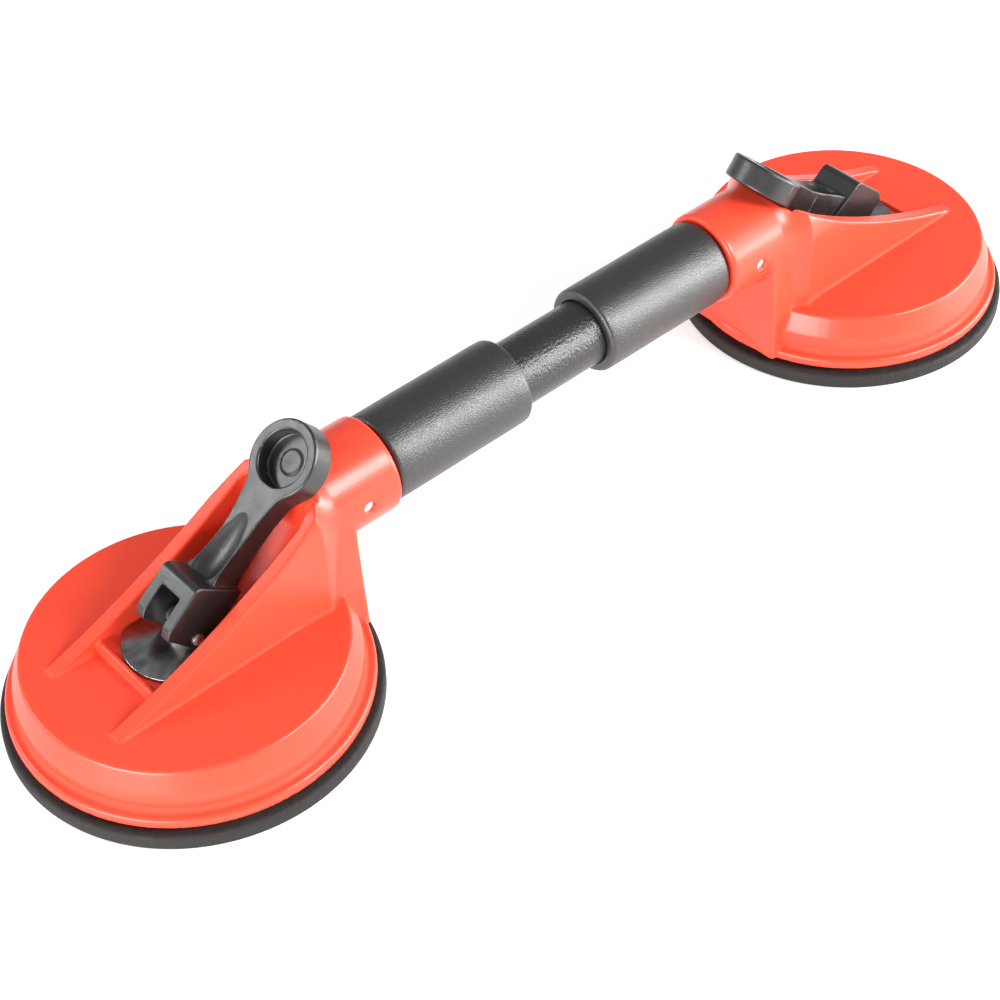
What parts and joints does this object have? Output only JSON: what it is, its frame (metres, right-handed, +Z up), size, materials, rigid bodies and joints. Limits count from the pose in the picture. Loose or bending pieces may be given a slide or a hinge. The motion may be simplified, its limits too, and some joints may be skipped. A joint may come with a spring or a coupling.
{
  "type": "double suction cup lifter",
  "caption": "Two-cup suction lifter: cam levers in moulded housings over rubber pads, joined by a straight bar with sleeve grips.",
  "frame": {"origin": "on the ground under the middle of the bar, which is the bottom centre of the bounding box", "axes": "+X along the bar towards the right head, +Z up, +Y across the bar"},
  "size_m": [0.4, 0.115, 0.0786],
  "materials": {
    "housing_red": "satin-gloss moulded plastic",
    "pad_rubber": "matte",
    "bright_steel": "turned",
    "zinc_plate": "zinc plated, mottled",
    "lever_black": "fine grained",
    "tube_black": "textured powder coat",
    "grip_foam": "leather-like grain"
  },
  "bodies": {
    "frame": {"tube": "tube_black", "housing_left": "housing_red", "suction_pad_left": "pad_rubber", "wear_plate_left": "zinc_plate", "tube_pin_left": "bright_steel", "grip_left": "grip_foam", "housing_right": "housing_red", "suction_pad_right": "pad_rubber", "wear_plate_right": "zinc_plate", "tube_pin_right": "bright_steel", "grip_right": "grip_foam"},
    "stud_left": {"lift_stud_left": "bright_steel", "anchor_plate_left": "bright_steel", "lever_axle_left": "bright_steel"},
    "lever_left": {"cam_lever_left": "lever_black"},
    "stud_right": {"lift_stud_right": "bright_steel", "anchor_plate_right": "bright_steel", "lever_axle_right": "bright_steel"},
    "lever_right": {"cam_lever_right": "lever_black"}
  },
  "joints": [
    {"name": "stud_lift_left", "type": "slide", "parent": "frame", "child": "stud_left", "axis": [0, 0, 1], "range_m": [0, 0.00982], "deforming": ["suction_pad_left"]},
    {"name": "lever_turn_left", "type": "hinge", "parent": "stud_left", "child": "lever_left", "pos_m": [-0.1425, 0, 0.031], "axis": [0, -1, 0], "range_deg": [0, 139]},
    {"name": "stud_lift_right", "type": "slide", "parent": "frame", "child": "stud_right", "axis": [0, 0, 1], "range_m": [0, 0.00982], "deforming": ["suction_pad_right"]},
    {"name": "lever_turn_right", "type": "hinge", "parent": "stud_right", "child": "lever_right", "pos_m": [0.1425, 0, 0.031], "axis": [0, 1, 0], "range_deg": [0, 139]}
  ],
  "couplings": [
    {"joint": "stud_lift_left", "follows": "lever_turn_left", "m_per_rad": 0.0040396},
    {"joint": "stud_lift_right", "follows": "lever_turn_right", "m_per_rad": 0.0040396}
  ]
}
